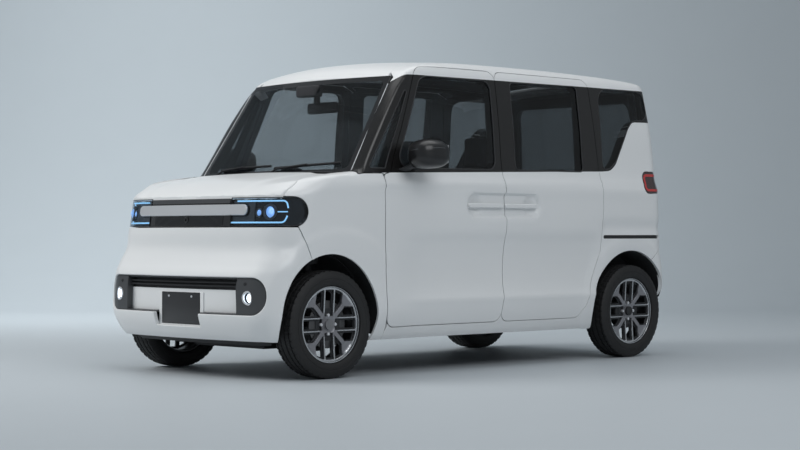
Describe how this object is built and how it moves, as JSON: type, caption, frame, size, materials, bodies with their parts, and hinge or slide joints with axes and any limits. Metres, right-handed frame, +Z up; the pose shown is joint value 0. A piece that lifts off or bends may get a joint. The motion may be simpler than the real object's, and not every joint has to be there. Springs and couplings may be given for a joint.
{
  "type": "kei car",
  "caption": "Small tall wagon with hinged front doors, sliding rear doors, a bonnet, a top-hinged tailgate, steered front wheels and a hollow cabin with seats.",
  "frame": {"origin": "on the ground under the middle of the car's bounding box", "axes": "+X forwards, +Y to the car's left, +Z up"},
  "size_m": [3.3983, 1.8642, 1.7914],
  "materials": {
    "body_paint": "gloss pearl white",
    "tinted_glass": "dark tinted",
    "clear_glass": "light green tint",
    "lamp_red": "dark red lens",
    "lamp_clear": "dark clear lens",
    "black_trim": "gloss black",
    "floor_metal": "satin black",
    "knuckle_iron": "rough cast",
    "engine_metal": "cast alloy",
    "exhaust_steel": "dull steel",
    "seat_cloth": "woven cloth",
    "dash_plastic": "grained",
    "plate_face": "blank",
    "tyre_rubber": "matt rubber",
    "rim_alloy": "dark metallic with machined edges"
  },
  "bodies": {
    "body": {"body_sides": "body_paint", "sliding_doors": "body_paint", "side_glass": "tinted_glass", "windscreen": "clear_glass", "roof_panel": "body_paint", "tail_lamps": "lamp_red", "rear_bumper": "body_paint", "fenders": "body_paint", "front_bumper": "body_paint", "headlamps": "lamp_clear", "grille": "black_trim", "cowl_panel": "black_trim", "firewall": "floor_metal", "floor_pan": "floor_metal", "wheel_housings": "floor_metal", "engine_block": "engine_metal", "fuel_tank": "floor_metal", "front_suspension": "floor_metal", "rear_axle": "floor_metal", "muffler": "exhaust_steel", "front_seats": "seat_cloth", "rear_seat": "seat_cloth", "dashboard": "dash_plastic", "wipers": "black_trim", "front_plate": "plate_face"},
    "bonnet_lid": {"bonnet": "body_paint"},
    "tailgate_lid": {"tailgate": "body_paint", "tailgate_glass": "tinted_glass"},
    "door_left": {"front_door_left": "body_paint", "front_door_glass_left": "clear_glass", "mirror_left": "black_trim"},
    "door_right": {"front_door_right": "body_paint", "front_door_glass_right": "clear_glass", "mirror_right": "black_trim"},
    "steer_left": {"knuckle_left": "knuckle_iron"},
    "steer_right": {"knuckle_right": "knuckle_iron"},
    "hand_wheel": {"steering_wheel": "dash_plastic"},
    "wheel_front_left": {"tyre_front_left": "tyre_rubber", "rim_front_left": "rim_alloy"},
    "wheel_front_right": {"tyre_front_right": "tyre_rubber", "rim_front_right": "rim_alloy"},
    "wheel_rear_left": {"tyre_rear_left": "tyre_rubber", "rim_rear_left": "rim_alloy"},
    "wheel_rear_right": {"tyre_rear_right": "tyre_rubber", "rim_rear_right": "rim_alloy"}
  },
  "joints": [
    {"name": "front_door_left_hinge", "type": "hinge", "parent": "body", "child": "door_left", "pos_m": [0.7731, 0.7185, 0.7], "axis": [0, 0, -1], "range_deg": [0, 70]},
    {"name": "front_door_right_hinge", "type": "hinge", "parent": "body", "child": "door_right", "pos_m": [0.7731, -0.7185, 0.7], "axis": [0, 0, 1], "range_deg": [0, 70]},
    {"name": "bonnet_hinge", "type": "hinge", "parent": "body", "child": "bonnet_lid", "pos_m": [1.14723, 0, 1.07937], "axis": [0, -1, 0], "range_deg": [0, 50]},
    {"name": "tailgate_hinge", "type": "hinge", "parent": "body", "child": "tailgate_lid", "pos_m": [-1.47343, 0, 1.73988], "axis": [0, 1, 0], "range_deg": [0, 85]},
    {"name": "steer_left_pivot", "type": "hinge", "parent": "body", "child": "steer_left", "pos_m": [1.199, 0.588, 0.289], "axis": [0, 0, 1], "range_deg": [-35, 35]},
    {"name": "steer_right_pivot", "type": "hinge", "parent": "body", "child": "steer_right", "pos_m": [1.199, -0.588, 0.289], "axis": [0, 0, 1], "range_deg": [-35, 35]},
    {"name": "hand_wheel_turn", "type": "hinge", "parent": "body", "child": "hand_wheel", "pos_m": [0.50416, -0.35, 1.01135], "axis": [-0.891, 0, 0.454], "range_deg": [-540, 540]},
    {"name": "wheel_front_left_spin", "type": "hinge", "parent": "steer_left", "child": "wheel_front_left", "pos_m": [1.199, 0.64, 0.289], "axis": [0, 1, 0], "continuous": true},
    {"name": "wheel_front_right_spin", "type": "hinge", "parent": "steer_right", "child": "wheel_front_right", "pos_m": [1.199, -0.64, 0.289], "axis": [0, 1, 0], "continuous": true},
    {"name": "wheel_rear_left_spin", "type": "hinge", "parent": "body", "child": "wheel_rear_left", "pos_m": [-1.321, 0.64, 0.289], "axis": [0, 1, 0], "continuous": true},
    {"name": "wheel_rear_right_spin", "type": "hinge", "parent": "body", "child": "wheel_rear_right", "pos_m": [-1.321, -0.64, 0.289], "axis": [0, 1, 0], "continuous": true}
  ],
  "couplings": [
    {"joint": "steer_right_pivot", "follows": "steer_left_pivot", "ratio": 1},
    {"joint": "hand_wheel_turn", "follows": "steer_left_pivot", "ratio": 15}
  ]
}
